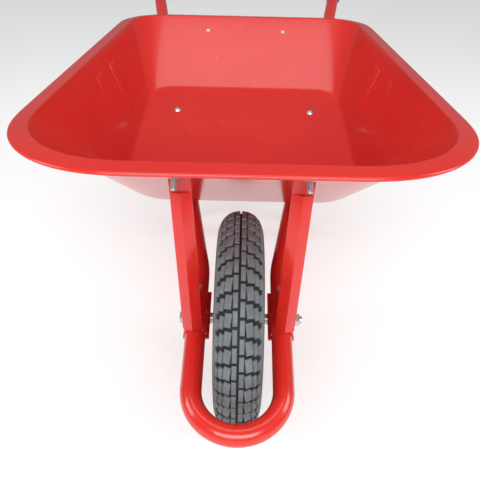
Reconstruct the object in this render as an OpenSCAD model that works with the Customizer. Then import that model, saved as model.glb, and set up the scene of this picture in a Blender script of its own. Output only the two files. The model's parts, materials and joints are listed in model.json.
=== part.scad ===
// Single-wheel builder's barrow with a pressed steel tray on a bent tube frame.
// Millimetres, +Z up. The wheel is towards -Y and the handles are towards +Y.
// The origin is on the ground, midway between the nose and the handle ends.

/* [Overall] */
// Length over the nose hoop and the grips
overall_length = 1400; // [1240:5:1700]
// Slope of the frame rails above level
rail_slope = 15; // [11:0.5:18]
// Angle at which each handle spreads from the centre line
handle_spread = 10.3; // [6:0.1:13]

/* [Frame tube] */
// Outside diameter of the frame tube
tube_d = 32; // [28:0.5:40]
// Wall thickness of the frame tube
tube_wall = 2; // [1.5:0.1:3]
// Gap between the tyre and the nose hoop
nose_clearance = 18; // [12:1:30]
// Gap between the tyre's side and the fork on each side
fork_clearance = 15; // [12:0.5:24]

/* [Wheel] */
// Tyre outside diameter
wheel_d = 356; // [300:1:430]
// Tyre section width
tyre_w = 73; // [62:1:90]
// Diameter of the axle bolt
axle_d = 12; // [10:1:16]
// Spokeless rim seat diameter
rim_d = 203; // [170:1:240]

/* [Tray] */
// Width over the rim at its widest corner
tray_width = 656; // [540:2:800]
// Length over the rim
tray_length = 882; // [740:2:1060]
// Depth from the rim's crease down to the front of the floor
tray_depth = 225; // [185:1:275]
// How far the rim reaches ahead of the axle
tray_overhang = 120; // [90:1:150]
// Thickness of the tray sheet
sheet_t = 1.2; // [0.8:0.1:2]
// Width of the turned rim flange
flange_w = 27; // [22:1:40]
// Amount each long side closes in per millimetre of length
side_taper = 0.054; // [0:0.002:0.08]

/* [Legs and struts] */
// Outside diameter of the leg tube
leg_d = 25; // [20:0.5:30]
// Outward lean of each leg
leg_splay = 4.2; // [0:0.1:8]
// Distance along the rail from the spread to the front of the leg
leg_set = 396; // [340:2:440]
// Width of each pressed front strut
strut_w = 30; // [24:0.5:36]
// Length of each rubber grip
grip_length = 108; // [90:1:150]

/* [Fasteners] */
// Diameter of the frame and tray bolts
bolt_d = 8; // [6:0.5:10]
// Diameter of the bolts that clamp the two rim halves
rim_bolt_d = 6; // [5:0.5:8]

/* [Hidden] */
$fn = 96;
seat = 0.1;
seat_soft = 0.3;
// A straight bar runs this far into a bend, whose radius is this much less, so the two join cleanly
lap = 2;
shy = 0.1;

// Frame geometry, in the sloping plane that holds the whole tube
tube_r = tube_d / 2;
bracket_t = 5;
bracket_w = 41;
hole_r = axle_d / 2 + 0.1;
axle_drop = tube_r + seat + bracket_t + hole_r;
axle_z = wheel_d / 2;
fork_x = tyre_w / 2 + fork_clearance + tube_r;
hoop_reach = wheel_d / 2 + nose_clearance + tube_r;
hoop_v = -sqrt(hoop_reach * hoop_reach - axle_drop * axle_drop);
spread_v = 80;
spread_r = 160;
spread_t = spread_r * tan(handle_spread / 2);
axle_y = -overall_length / 2 + axle_drop * sin(rail_slope) - hoop_v * cos(rail_slope) + tube_r;
plane_y = axle_y - axle_drop * sin(rail_slope);
plane_z = axle_z + axle_drop * cos(rail_slope);
grip_r = tube_r + 3.5;
grip_cap = 4;
rail_dir_y = cos(handle_spread) * cos(rail_slope);
grip_lean = grip_r * sqrt(1 - rail_dir_y * rail_dir_y);
rail_end = (overall_length / 2 - grip_lean - plane_y - spread_v * cos(rail_slope)) / rail_dir_y;

// Positions along the rail, measured from the start of the spread
tray_bolt_at = leg_set + 50;
leg_bolt_at = leg_set + 172;
leg_rear_at = leg_set + 140;
plate_t = 4;

// Leg loops: a point rises rise_y per unit along the rail, rise_z per unit square to it
leg_r = leg_d / 2;
loop_r = 46;
leg_top = tube_r + seat + plate_t;
rise_y = cos(handle_spread) * sin(rail_slope);
rise_z = cos(leg_splay) * cos(rail_slope)
    + sin(leg_splay) * sin(handle_spread) * sin(rail_slope);
rise = norm([rise_y, rise_z]);
loop_y = leg_set + loop_r;
rail_origin_z = plane_z + spread_v * sin(rail_slope);
loop_z = (loop_r * rise + leg_r - rail_origin_z - rise_y * loop_y) / rise_z;
rear_gap = norm([leg_rear_at - loop_y, -leg_top - loop_z]);
rear_tangent = atan2(-leg_top - loop_z, leg_rear_at - loop_y) - acos(loop_r / rear_gap);
rear_length = sqrt(rear_gap * rear_gap - loop_r * loop_r);

// Cross brace, bolted to the front of both legs
brace_drop = 150;
brace_t = 4;
brace_h = 30;
brace_side = brace_drop * sin(leg_splay);
brace_x = fork_x + brace_side * cos(handle_spread) + leg_set * sin(handle_spread);
brace_v = spread_v - brace_side * sin(handle_spread) + leg_set * cos(handle_spread);
brace_w = -brace_drop * cos(leg_splay);
brace_face = brace_v - leg_r - seat_soft;

// Tray outline and walls
rim_y0 = axle_y - tray_overhang;
rim_y1 = rim_y0 + tray_length;
rim_h0 = tray_width / 2 + side_taper * 170;
rim_h1 = rim_h0 - side_taper * tray_length;
front_run = 303;
rear_run = 175;
side_run = 64;
floor_w = tube_r + seat_soft + sheet_t;
floor_y0 = rim_y0 + flange_w + front_run;
floor_y1 = rim_y1 - flange_w - rear_run;
rim_z = floor_at(floor_y0) + tray_depth;
crease_y0 = rim_y0 + flange_w;
crease_y1 = rim_y1 - flange_w;
front_angle = atan2(rim_z - floor_at(floor_y0), floor_y0 - crease_y0);
rear_angle = atan2(rim_z - floor_at(floor_y1), crease_y1 - floor_y1);
flange_drop = 8;
hem_r = 3;
corner_steps = 9;

// Struts
strut_t = 2.5;
strut_fold = 7;
strut_bolt_at = 55;
strut_top_x = fork_x + 17;
strut_foot_x = fork_x + 3;
foot_bolt_v = -32;
rear_bolt_v = 28;
foot_v0 = -52;
foot_v1 = -10;

// Wheel internals
hub_r = 17.5;
hub_half = 40;
bearing_w = 10;
bearing_r = 16;
bearing_x = hub_half - 0.5 - bearing_w / 2;
ball_r = 2.7;
ball_pitch_r = 11;
ball_count = 7;
seat_r = rim_d / 2;
rim_half = 29.2;
rim_bolt_r = 78;
tyre_mid_r = wheel_d / 2 - 38;
valve_x = 14;
bracket_in = fork_x - bracket_w / 2;
bracket_out = fork_x + bracket_w / 2;

// Fasteners
washer_t = 2;
axle_head_h = 7;
fork_under = tube_r + 2 * seat + bracket_t;
rail_under = leg_top + seat;
nut_grip = 12;
strut_stack = sheet_t + seat_soft + strut_t + seat;
strut_washer_t = 1.6;

// ---------- shared geometry ----------

// Height of the tray floor's upper face at a distance along the barrow
function floor_at(y) = plane_z + (y - plane_y) * tan(rail_slope) + floor_w / cos(rail_slope);

// Point in the barrow's frame from a point in the sloping frame plane
function plane_point(x, v, w) = [
    x,
    plane_y + v * cos(rail_slope) - w * sin(rail_slope),
    plane_z + v * sin(rail_slope) + w * cos(rail_slope)
];

// Places children in the frame plane: x across, y up the slope, z square to it
module on_plane() {
    translate([0, plane_y, plane_z])
        rotate([rail_slope, 0, 0])
            children();
}

// Places children on one handle rail: y runs along the rail from its spread
module on_rail(side) {
    on_plane()
        translate([side * fork_x, spread_v, 0])
            rotate([0, 0, -side * handle_spread])
                children();
}

// Places children on the axle line, with z along +X
module on_axle() {
    translate([0, axle_y, axle_z])
        rotate([0, 90, 0])
            children();
}

// Draws the children on both sides
module both_sides() {
    children();
    mirror([1, 0, 0])
        children();
}

// Hollow round bar along z
module tube(r_out, r_in, length) {
    difference() {
        cylinder(r = r_out, h = length);
        translate([0, 0, -1])
            cylinder(r = r_in, h = length + 2);
    }
}

// Hexagon bolt head or nut blank, standing on z = 0
module hexagon(across_flats, height) {
    cylinder(d = across_flats / cos(30), h = height, $fn = 6);
}

// Hexagon bolt with its head on z = 0 and its shank running down
module hex_bolt(d, length) {
    hexagon(1.625 * d, 0.65 * d);
    translate([0, 0, -length])
        cylinder(d = d, h = length + 0.5);
}

// Round-headed bolt with its head on z = 0 and its shank running down
module dome_bolt(d, length) {
    intersection() {
        cylinder(d = 2.1 * d, h = 0.6 * d);
        translate([0, 0, -0.75 * d])
            sphere(r = 1.3 * d);
    }
    translate([0, 0, -length])
        cylinder(d = d, h = length + 0.5);
}

// Nut hanging down from z = 0
module nut(d) {
    translate([0, 0, -0.8 * d])
        difference() {
            hexagon(1.625 * d, 0.8 * d);
            translate([0, 0, -1])
                cylinder(d = d + 0.1, h = d + 2);
        }
}

// ---------- frame tube ----------

// Solid bar along the whole path of the frame tube, in the frame plane
module frame_path(r, extra) {
    straight = spread_v - spread_t - hoop_v - fork_x + 2 * lap;
    handle = rail_end - spread_t - grip_cap + lap + extra;
    translate([0, hoop_v + fork_x, 0])
        rotate([0, 0, 180])
            rotate_extrude(angle = 180)
                translate([fork_x, 0])
                    circle(r = r - shy);
    both_sides() {
        translate([fork_x, hoop_v + fork_x - lap, 0])
            rotate([-90, 0, 0])
                cylinder(r = r, h = straight);
        translate([fork_x + spread_r, spread_v - spread_t, 0])
            rotate([0, 0, 180 - handle_spread])
                rotate_extrude(angle = handle_spread)
                    translate([spread_r, 0])
                        circle(r = r - shy);
        translate([fork_x, spread_v, 0])
            rotate([0, 0, -handle_spread])
                translate([0, spread_t - lap, 0])
                    rotate([-90, 0, 0])
                        cylinder(r = r, h = handle);
    }
}

// Holes for the bolts that go through the tube
module frame_holes() {
    for (side = [-1, 1]) {
        on_plane()
            for (v = [foot_bolt_v, rear_bolt_v])
                translate([side * fork_x, v, -tube_d])
                    cylinder(d = bolt_d + 0.5, h = 2 * tube_d);
        on_rail(side)
            for (y = [tray_bolt_at, leg_bolt_at])
                translate([0, y, -tube_d])
                    cylinder(d = bolt_d + 0.5, h = 2 * tube_d);
    }
}

module frame_tube() {
    color("firebrick")
        difference() {
            on_plane()
                difference() {
                    frame_path(tube_r, 0);
                    frame_path(tube_r - tube_wall, 1);
                }
            frame_holes();
        }
}

// ---------- tray ----------

// One corner of an outline, from angle a0 to angle a1
function corner(cx, cy, r, a0, a1) = [
    for (i = [0:corner_steps])
        let (t = a0 + (a1 - a0) * i / corner_steps)
        [cx + r * cos(t), cy + r * sin(t)]
];

// Right half of a tapering round-cornered outline, front first, grown outwards by g
function half_outline(y0, y1, h0, r0, r1, g) =
    let (
        d = atan(side_taper),
        c0y = y0 + r0,
        c1y = y1 - r1,
        c0x = h0 - (c0y - y0) * side_taper - r0 / cos(d),
        c1x = h0 - (c1y - y0) * side_taper - r1 / cos(d)
    )
    concat(corner(c0x, c0y, r0 + g, -90, d), corner(c1x, c1y, r1 + g, d, 90));

// Whole outline, anticlockwise from the front
function outline(y0, y1, h0, r0, r1, g) =
    let (
        half = half_outline(y0, y1, h0, r0, r1, g),
        n = len(half)
    )
    concat(half, [for (i = [n - 1:-1:0]) [-half[i][0], half[i][1]]]);

// Outline of the floor, drawn in by g, at the floor's height
function floor_ring(g) =
    let (h0 = rim_h0 - side_taper * (floor_y0 - rim_y0) - flange_w - side_run)
    [for (p = outline(floor_y0, floor_y1, h0, 90, 50, -g)) [p[0], p[1], floor_at(p[1])]];

// Outline of the crease between walls and flange, grown by g, lowered by drop
function crease_ring(g, drop) =
    let (h0 = rim_h0 - side_taper * flange_w - flange_w)
    [for (p = outline(crease_y0, crease_y1, h0, 156, 70, g)) [p[0], p[1], rim_z - drop]];

function unit(v) = v / norm(v);

// Point at u on a bend from a to c around the corner b
function bend(a, b, c, u) = a * (1 - u) * (1 - u) + b * 2 * u * (1 - u) + c * u * u;

// Upper face of the sheet as rings of points, from the floor out to the hem
function upper_rings() =
    let (
        inner = floor_ring(34),
        base = floor_ring(0),
        crease = crease_ring(0, 0),
        lip = crease_ring(10, 10 * tan(flange_drop)),
        n = len(base),
        hem_out = flange_w - hem_r,
        hem_z = hem_out * tan(flange_drop) + hem_r
    )
    concat(
        [for (u = [0, 0.25, 0.5, 0.75, 1])
            [for (i = [0:n - 1])
                bend(inner[i], base[i], base[i] + unit(crease[i] - base[i]) * 34, u)]],
        [for (u = [0, 0.33, 0.67, 1])
            [for (i = [0:n - 1])
                bend(crease[i] - unit(crease[i] - base[i]) * 9, crease[i], lip[i], u)]],
        [for (t = [75, 35, -5, -45, -85, -120])
            crease_ring(hem_out + hem_r * cos(t), hem_z - hem_r * sin(t))]
    );

// Rings of the lower face, one sheet thickness below the upper face
function lower_rings(top) =
    let (m = len(top), n = len(top[0]))
    [for (j = [0:m - 1])
        [for (i = [0:n - 1])
            let (
                along = top[j][(i + 1) % n] - top[j][(i + n - 1) % n],
                across = top[min(j + 1, m - 1)][i] - top[max(j - 1, 0)][i]
            )
            top[j][i] - unit(cross(across, along)) * sheet_t]];

function flat(rows) = [for (r = rows) for (p = r) p];

// Centre of a ring of points
function ring_middle(ring) = [for (k = [1:len(ring)]) 1] * ring / len(ring);

module tray_sheet() {
    top = upper_rings();
    under = lower_rings(top);
    m = len(top);
    n = len(top[0]);
    low = m * n;
    faces = concat(
        [for (j = [0:m - 2]) for (i = [0:n - 1]) let (k = (i + 1) % n)
            each [[j * n + i, j * n + k, (j + 1) * n + k],
                  [j * n + i, (j + 1) * n + k, (j + 1) * n + i]]],
        [for (j = [0:m - 2]) for (i = [0:n - 1]) let (k = (i + 1) % n)
            each [[low + j * n + i, low + (j + 1) * n + k, low + j * n + k],
                  [low + j * n + i, low + (j + 1) * n + i, low + (j + 1) * n + k]]],
        [for (i = [0:n - 1]) let (k = (i + 1) % n, e = (m - 1) * n)
            each [[e + i, e + k, low + e + k], [e + i, low + e + k, low + e + i]]],
        [for (i = [0:n - 1]) [2 * low, (i + 1) % n, i]],
        [for (i = [0:n - 1]) [2 * low + 1, low + i, low + (i + 1) % n]]
    );
    polyhedron(
        points = concat(flat(top), flat(under), [ring_middle(top[0]), ring_middle(under[0])]),
        faces = faces
    );
}

// Places children on the outside of the front wall: z leaves the wall outwards
module on_front_wall(side) {
    translate([side * (strut_top_x + 4), crease_y0, rim_z])
        rotate([-front_angle, 0, 0])
            translate([0, strut_bolt_at, 0])
                rotate([180, 0, 0])
                    children();
}

// Places children on the inside of the rear wall at one of its two open holes
module on_rear_wall(side) {
    translate([side * 90, crease_y1, rim_z])
        rotate([rear_angle, 0, 0])
            translate([0, -44, 0])
                children();
}

module tray() {
    color("firebrick")
        difference() {
            tray_sheet();
            for (side = [-1, 1]) {
                on_rail(side)
                    translate([0, tray_bolt_at, 0])
                        cylinder(d = bolt_d + 0.5, h = 4 * tube_r);
                on_front_wall(side)
                    translate([0, 0, -15])
                        cylinder(d = bolt_d + 0.5, h = 30);
                on_rear_wall(side)
                    translate([0, 0, -15])
                        cylinder(d = 9, h = 30);
            }
        }
}

// ---------- struts ----------

// Cross-section of a strut's folded body, with the fold towards -Y
module strut_section() {
    half = strut_w / 2;
    polygon([
        [-half, 0], [0, -strut_fold], [half, 0],
        [half, strut_t], [0, strut_t - strut_fold], [-half, strut_t]
    ]);
}

// One strut: a tab under the front wall, a ridged body and a foot over the tube
module strut(side) {
    tab = tab_end(side);
    foot = plane_point(side * strut_foot_x, foot_v0 + 2, tube_r + strut_t / 2);
    reach = tab - foot;
    length = norm(reach);
    color("firebrick")
        difference() {
            union() {
                on_front_wall(side)
                    translate([-strut_w / 2 - side * 4, -20 - strut_t, sheet_t + seat_soft])
                        cube([strut_w, 36 + strut_t, strut_t]);
                translate(foot)
                    rotate([0, atan2(reach[0], reach[2]), 0])
                        rotate([-asin(reach[1] / length), 0, 0]) {
                            linear_extrude(length - 26)
                                strut_section();
                            translate([-strut_w / 2, 0, length - 40])
                                cube([strut_w, strut_t, 38.5]);
                        }
                on_plane()
                    translate([side * fork_x, foot_v1, 0])
                        rotate([90, 0, 0])
                            linear_extrude(foot_v1 - foot_v0)
                                saddle_section();
            }
            on_plane()
                translate([side * fork_x, foot_bolt_v, 0])
                    cylinder(d = bolt_d + 0.5, h = tube_d);
            on_plane()
                translate([side * fork_x, foot_v0 - 5, 0])
                    rotate([-90, 0, 0])
                        cylinder(r = tube_r + seat_soft, h = foot_v1 - foot_v0 + 20);
            on_front_wall(side)
                translate([0, 0, -5])
                    cylinder(d = bolt_d + 0.5, h = 20);
        }
}

// Where a strut's body meets the low end of its tab
function tab_end(side) =
    let (along = strut_bolt_at + 20, off = sheet_t + seat_soft + strut_t / 2)
    [
        side * strut_top_x,
        crease_y0 + along * cos(front_angle) - off * sin(front_angle),
        rim_z - along * sin(front_angle) - off * cos(front_angle)
    ];

// Curved foot that wraps over the fork tube
module saddle_section() {
    intersection() {
        difference() {
            circle(r = tube_r + seat_soft + strut_t);
            circle(r = tube_r + seat_soft);
        }
        translate([-tube_d, 4])
            square([2 * tube_d, tube_d]);
    }
}

module strut_left() {
    strut(-1);
}

module strut_right() {
    strut(1);
}

// ---------- legs ----------

// Places children in the plane of one leg: x along the rail, y up through the rail
module on_leg(side) {
    on_rail(side)
        rotate([0, -side * leg_splay, 0])
            rotate([90, 0, 90])
                children();
}

// Bent bar of one leg, down from the plate, round the foot and up to the plate
module leg_loop() {
    translate([leg_set, loop_z - lap, 0])
        rotate([-90, 0, 0])
            cylinder(r = leg_r, h = 1 - leg_top - loop_z + lap);
    translate([loop_y, loop_z, 0])
        rotate([0, 0, 180])
            rotate_extrude(angle = 180 + rear_tangent)
                translate([loop_r, 0])
                    circle(r = leg_r - shy);
    translate([loop_y, loop_z, 0])
        rotate([0, 0, rear_tangent])
            translate([loop_r, -lap, 0])
                rotate([-90, 0, 0])
                    cylinder(r = leg_r, h = rear_length + 1 + lap);
}

module leg(side) {
    color("firebrick")
        difference() {
            union() {
                on_leg(side)
                    leg_loop();
                on_rail(side)
                    translate([-19, leg_set - 22, -leg_top])
                        cube([38, 212, plate_t]);
            }
            on_rail(side)
                for (y = [tray_bolt_at, leg_bolt_at])
                    translate([0, y, -leg_top - 1])
                        cylinder(d = bolt_d + 0.5, h = plate_t + 2);
            on_rail(side)
                translate([-30, leg_set - 40, -leg_top + plate_t])
                    cube([60, 260, 10]);
            on_plane()
                translate([side * brace_x, brace_v - leg_d, brace_w])
                    rotate([-90, 0, 0])
                        cylinder(d = bolt_d + 0.5, h = 2 * leg_d);
        }
}

module leg_left() {
    leg(-1);
}

module leg_right() {
    leg(1);
}

module leg_brace() {
    color("firebrick")
        on_plane()
            difference() {
                translate([-brace_x - 14, brace_face - brace_t, brace_w - brace_h / 2])
                    cube([2 * brace_x + 28, brace_t, brace_h]);
                for (side = [-1, 1])
                    translate([side * brace_x, brace_face - brace_t - 1, brace_w])
                        rotate([-90, 0, 0])
                            cylinder(d = bolt_d + 0.5, h = brace_t + 2);
            }
}

// ---------- grips ----------

// Blind rubber sleeve over the end of one handle
module grip(side) {
    color("dimgray")
        on_rail(side)
            translate([0, rail_end, 0])
                rotate([90, 0, 0])
                    difference() {
                        cylinder(r = grip_r, h = grip_length);
                        translate([0, 0, grip_cap - seat])
                            cylinder(r = tube_r + seat, h = grip_length);
                    }
}

module grip_left() {
    grip(-1);
}

module grip_right() {
    grip(1);
}

// ---------- axle and its brackets ----------

// Side profile of an axle bracket: two ears on the tube and a drop round the axle
module bracket_profile() {
    r = hole_r + 4;
    difference() {
        union() {
            translate([-45, -tube_r - seat - bracket_t])
                square([90, bracket_t]);
            translate([-r, -axle_drop])
                square([2 * r, axle_drop - tube_r - seat]);
            translate([0, -axle_drop])
                circle(r = r);
        }
        translate([0, -axle_drop])
            circle(r = hole_r);
    }
}

module axle_bracket(side) {
    color("firebrick")
        on_plane()
            difference() {
                translate([side * fork_x - bracket_w / 2, 0, 0])
                    rotate([90, 0, 90])
                        linear_extrude(bracket_w)
                            bracket_profile();
                for (v = [foot_bolt_v, rear_bolt_v])
                    translate([side * fork_x, v, -2 * tube_d])
                        cylinder(d = bolt_d + 0.5, h = 2 * tube_d);
            }
}

module axle_bracket_left() {
    axle_bracket(-1);
}

module axle_bracket_right() {
    axle_bracket(1);
}

module axle_bolt() {
    color("silver")
        on_axle() {
            translate([0, 0, -bracket_out - washer_t - 2 * seat - axle_head_h])
                hexagon(1.5 * axle_d, axle_head_h);
            translate([0, 0, -bracket_out - washer_t - 2 * seat - 1])
                cylinder(d = axle_d, h = 2 * bracket_out + 2 * washer_t + axle_d + 3);
        }
}

module axle_nut() {
    color("silver")
        on_axle()
            translate([0, 0, bracket_out + washer_t + 2 * seat])
                difference() {
                    hexagon(1.5 * axle_d, 0.8 * axle_d);
                    translate([0, 0, -1])
                        cylinder(r = hole_r, h = axle_d + 2);
                }
}

module axle_washers() {
    color("silver")
        on_axle()
            for (z = [-bracket_out - seat - washer_t, bracket_out + seat])
                translate([0, 0, z])
                    tube(axle_d, hole_r, washer_t);
}

module axle_spacers() {
    length = bracket_in - hub_half + 0.5 - 2 * seat;
    color("silver")
        on_axle()
            for (z = [-bracket_in + seat, bracket_in - seat - length])
                translate([0, 0, z])
                    tube(hole_r + 2.5, hole_r, length);
}

// ---------- hub bearings ----------

// Places children at each ball's position round the bearing
module at_balls() {
    for (i = [0:ball_count - 1])
        rotate([0, 0, 360 * i / ball_count])
            translate([ball_pitch_r, 0, 0])
                children();
}

// Places children at the middle of both bearings
module at_bearings() {
    on_axle()
        for (z = [-bearing_x, bearing_x])
            translate([0, 0, z])
                children();
}

// Torus that the balls' grooves are cut with
module groove() {
    rotate_extrude()
        translate([ball_pitch_r, 0])
            circle(r = ball_r + 0.35);
}

module bearing_inner_rings() {
    color("lightsteelblue")
        at_bearings()
            difference() {
                translate([0, 0, -bearing_w / 2])
                    tube(9.2, hole_r, bearing_w);
                groove();
            }
}

module bearing_outer_rings() {
    color("lightsteelblue")
        at_bearings()
            difference() {
                translate([0, 0, -bearing_w / 2])
                    tube(bearing_r, 12.9, bearing_w);
                groove();
            }
}

module bearing_seals() {
    color("black")
        at_bearings()
            for (z = [-bearing_w / 2 + 0.2, bearing_w / 2 - 1])
                translate([0, 0, z])
                    tube(12.8, 9.6, 0.8);
}

module bearing_spacer() {
    length = 2 * bearing_x - bearing_w - 2 * seat;
    color("silver")
        on_axle()
            translate([0, 0, -length / 2])
                tube(8.4, hole_r, length);
}

module bearing_balls(side) {
    color("gainsboro")
        on_axle()
            translate([0, 0, side * bearing_x])
                at_balls()
                    sphere(r = ball_r);
}

module bearing_balls_left() {
    bearing_balls(-1);
}

module bearing_balls_right() {
    bearing_balls(1);
}

module bearing_cage(side) {
    color("goldenrod")
        on_axle()
            translate([0, 0, side * bearing_x])
                difference() {
                    translate([0, 0, -3.4])
                        tube(11.7, 10.3, 6.8);
                    at_balls()
                        translate([-ball_r, 0, 0])
                            rotate([0, 90, 0])
                                cylinder(r = ball_r + 0.15, h = 2 * ball_r);
                }
}

module bearing_cage_left() {
    bearing_cage(-1);
}

module bearing_cage_right() {
    bearing_cage(1);
}

// ---------- wheel ----------

module hub_tube() {
    inner = bearing_x - bearing_w / 2 - seat;
    color("silver")
        on_axle()
            difference() {
                translate([0, 0, -hub_half])
                    cylinder(r = hub_r, h = 2 * hub_half);
                translate([0, 0, -hub_half - 1])
                    cylinder(r = 14, h = 2 * hub_half + 2);
                for (z = [-hub_half - 1, inner])
                    translate([0, 0, z])
                        cylinder(r = bearing_r + seat / 2, h = hub_half + 1 - inner);
            }
}

// Half section of one pressed rim half: radius first, distance from the centre second
module rim_section() {
    polygon([
        [hub_r + seat, 14], [hub_r + seat, 22], [hub_r + 2.2, 22], [hub_r + 2.2, 16],
        [28, 16], [62, 2.1], [seat_r - 2, 2.1], [seat_r - 2, rim_half],
        [seat_r + 10.5, rim_half], [seat_r + 10.5, rim_half - 2], [seat_r, rim_half - 2],
        [seat_r, 0.1], [61.5, 0.1], [27.5, 14]
    ]);
}

// Holes for the rim bolts, spread round the axle line
module rim_bolt_ring() {
    for (a = [45:90:315])
        rotate([0, 0, a])
            translate([rim_bolt_r, 0, 0])
                children();
}

module rim_half_blank() {
    difference() {
        rotate_extrude()
            rim_section();
        rim_bolt_ring()
            translate([0, 0, -1])
                cylinder(d = rim_bolt_d + 0.4, h = 5);
    }
}

module rim_left() {
    color("brown")
        on_axle()
            mirror([0, 0, 1])
                rim_half_blank();
}

module rim_right() {
    color("brown")
        on_axle()
            difference() {
                rim_half_blank();
                translate([0, 0, valve_x])
                    rotate([0, 90, 0])
                        cylinder(r = 4.3, h = seat_r + 5);
            }
}

module rim_bolts() {
    color("silver")
        on_axle()
            rim_bolt_ring()
                translate([0, 0, 2.1 + seat])
                    hex_bolt(rim_bolt_d, 12);
}

module rim_nuts() {
    color("silver")
        on_axle()
            rim_bolt_ring()
                translate([0, 0, -2.1 - seat])
                    nut(rim_bolt_d);
}

// Point on a rounded tyre wall at angle t from the crown: radius, then distance across
function wall_point(t, half, rise) = [
    tyre_mid_r + rise * cos(t),
    half * sign(sin(t)) * pow(abs(sin(t)), 0.9)
];

module tyre_section() {
    outside = [for (t = [-124:8:124]) wall_point(t, tyre_w / 2, 38)];
    inside = [for (t = [124:-8:-124]) wall_point(t, tyre_w / 2 - 5, 29)];
    heel = rim_half - 2.4;
    toe = seat_r + seat_soft;
    polygon(concat(
        outside,
        [[seat_r + 12, heel], [toe, heel], [toe, heel - 8]],
        inside,
        [[toe, 8 - heel], [toe, -heel], [seat_r + 12, -heel]]
    ));
}

module tyre() {
    color("darkslategray")
        on_axle()
            rotate_extrude()
                tyre_section();
}

module inner_tube() {
    half = 25;
    low = seat_r + 1;
    high = wheel_d / 2 - 10;
    color("dimgray")
        on_axle()
            rotate_extrude()
                difference() {
                    tube_section(half, low, high, 0);
                    tube_section(half, low, high, 2);
                }
}

// Rounded section of the inflated tube, drawn in by g
module tube_section(half, low, high, g) {
    middle = (low + high) / 2;
    rise = (high - low) / 2 - g;
    polygon([for (t = [0:10:350]) [middle + rise * cos(t), (half - g) * sin(t)]]);
}

module valve_stem() {
    color("dimgray")
        on_axle()
            translate([0, 0, valve_x])
                rotate([0, 90, 0])
                    translate([0, 0, seat_r - 32])
                        difference() {
                            union() {
                                cylinder(r = 4, h = 32);
                                translate([0, 0, -8])
                                    cylinder(r = 3, h = 10);
                            }
                            translate([0, 0, -9])
                                cylinder(r = 1.4, h = 60);
                        }
}

module valve_cap() {
    color("black")
        on_axle()
            translate([0, 0, valve_x])
                rotate([0, 90, 0])
                    translate([0, 0, seat_r - 43])
                        difference() {
                            cylinder(r = 4.2, h = 10);
                            translate([0, 0, 2])
                                cylinder(r = 3 + seat, h = 10);
                        }
}

// ---------- frame and tray fasteners ----------

module strut_foot_bolts() {
    top = tube_r + seat_soft + strut_t + seat;
    color("silver")
        on_plane()
            for (side = [-1, 1])
                translate([side * fork_x, foot_bolt_v, top])
                    hex_bolt(bolt_d, top + fork_under + nut_grip);
}

module bracket_bolts() {
    top = tube_r + seat;
    color("silver")
        on_plane()
            for (side = [-1, 1])
                translate([side * fork_x, rear_bolt_v, top])
                    hex_bolt(bolt_d, top + fork_under + nut_grip);
}

module bracket_nuts() {
    color("silver")
        on_plane()
            for (side = [-1, 1])
                for (v = [foot_bolt_v, rear_bolt_v])
                    translate([side * fork_x, v, -fork_under])
                        nut(bolt_d);
}

module tray_bolts() {
    top = floor_w + seat;
    color("silver")
        for (side = [-1, 1])
            on_rail(side)
                translate([0, tray_bolt_at, top])
                    dome_bolt(bolt_d, top + rail_under + nut_grip);
}

module tray_nuts() {
    color("silver")
        for (side = [-1, 1])
            on_rail(side)
                translate([0, tray_bolt_at, -rail_under])
                    nut(bolt_d);
}

module leg_bolts() {
    top = tube_r + seat;
    color("silver")
        for (side = [-1, 1])
            on_rail(side)
                translate([0, leg_bolt_at, top])
                    hex_bolt(bolt_d, top + rail_under + nut_grip);
}

module leg_nuts() {
    color("silver")
        for (side = [-1, 1])
            on_rail(side)
                translate([0, leg_bolt_at, -rail_under])
                    nut(bolt_d);
}

module strut_bolts() {
    color("silver")
        for (side = [-1, 1])
            on_front_wall(side)
                rotate([180, 0, 0])
                    translate([0, 0, seat])
                        dome_bolt(bolt_d, strut_stack + strut_washer_t + 22);
}

module strut_washers() {
    color("silver")
        for (side = [-1, 1])
            on_front_wall(side)
                translate([0, 0, strut_stack])
                    tube(bolt_d, bolt_d / 2 + seat, strut_washer_t);
}

module strut_nuts() {
    color("silver")
        for (side = [-1, 1])
            on_front_wall(side)
                translate([0, 0, strut_stack + strut_washer_t + seat])
                    rotate([180, 0, 0])
                        nut(bolt_d);
}

module brace_bolts() {
    color("silver")
        on_plane()
            for (side = [-1, 1])
                translate([side * brace_x, brace_face - brace_t - seat, brace_w])
                    rotate([90, 0, 0])
                        hex_bolt(bolt_d, brace_t + leg_d + nut_grip);
}

module brace_nuts() {
    color("silver")
        on_plane()
            for (side = [-1, 1])
                translate([side * brace_x, brace_v + leg_r + seat_soft, brace_w])
                    rotate([90, 0, 0])
                        nut(bolt_d);
}

frame_tube();
tray();
strut_left();
strut_right();
leg_left();
leg_right();
leg_brace();
grip_left();
grip_right();
axle_bracket_left();
axle_bracket_right();
axle_bolt();
axle_nut();
axle_washers();
axle_spacers();
bearing_inner_rings();
bearing_spacer();
hub_tube();
rim_left();
rim_right();
rim_bolts();
rim_nuts();
tyre();
inner_tube();
valve_stem();
valve_cap();
bearing_outer_rings();
bearing_seals();
bearing_balls_left();
bearing_balls_right();
bearing_cage_left();
bearing_cage_right();
strut_foot_bolts();
bracket_bolts();
bracket_nuts();
tray_bolts();
tray_nuts();
leg_bolts();
leg_nuts();
strut_bolts();
strut_washers();
strut_nuts();
brace_bolts();
brace_nuts();
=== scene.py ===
"""Finishes a builder's wheelbarrow round its engineering frame.

It adds a pressed tray, a block tread, ribbed grips, rounded pressings and threaded bolts.
"""

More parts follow.
